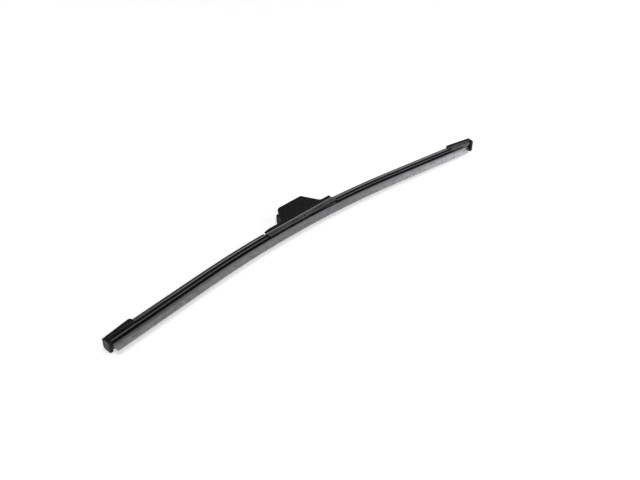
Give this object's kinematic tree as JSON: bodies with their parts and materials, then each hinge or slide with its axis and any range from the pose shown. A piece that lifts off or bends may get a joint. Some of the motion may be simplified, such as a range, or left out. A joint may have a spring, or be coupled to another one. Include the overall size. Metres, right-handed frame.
{
  "type": "wiper blade",
  "caption": "Bowed beam wiper blade: rubber strip with hidden spring rails, clip-on covers, end caps and a bridge whose pivoting adapter takes the hook of a wiper arm.",
  "frame": {"origin": "middle of the pivot pin, which is the centre of the seat for the arm's hook", "axes": "+X along the blade towards its far end, +Y from the wiping lip towards the arm, +Z across the blade, up from the side it lies on"},
  "size_m": [0.4518, 0.056, 0.0128],
  "materials": {
    "wiping_rubber": "graphite-coated matt",
    "spring_steel": "rolled",
    "cover_plastic": "satin extruded",
    "moulded_plastic": "fine moulded grain",
    "coated_metal": "satin black coat",
    "pin_steel": "ground",
    "adapter_plastic": "smooth moulded"
  },
  "bodies": {
    "blade": {"wiper_rubber": "wiping_rubber", "upper_spring_rail": "spring_steel", "lower_spring_rail": "spring_steel", "near_cover_strip": "cover_plastic", "far_cover_strip": "cover_plastic", "near_end_cap": "moulded_plastic", "far_end_cap": "moulded_plastic", "bridge_bracket": "coated_metal", "bridge_housing": "moulded_plastic", "pivot_pin": "pin_steel"},
    "adapter": {"hook_adapter": "adapter_plastic"}
  },
  "joints": [
    {"name": "adapter_pivot", "type": "hinge", "parent": "blade", "child": "adapter", "pos_m": [0, 0, 0], "axis": [0, 0, 1], "range_deg": [-70, 14]}
  ]
}
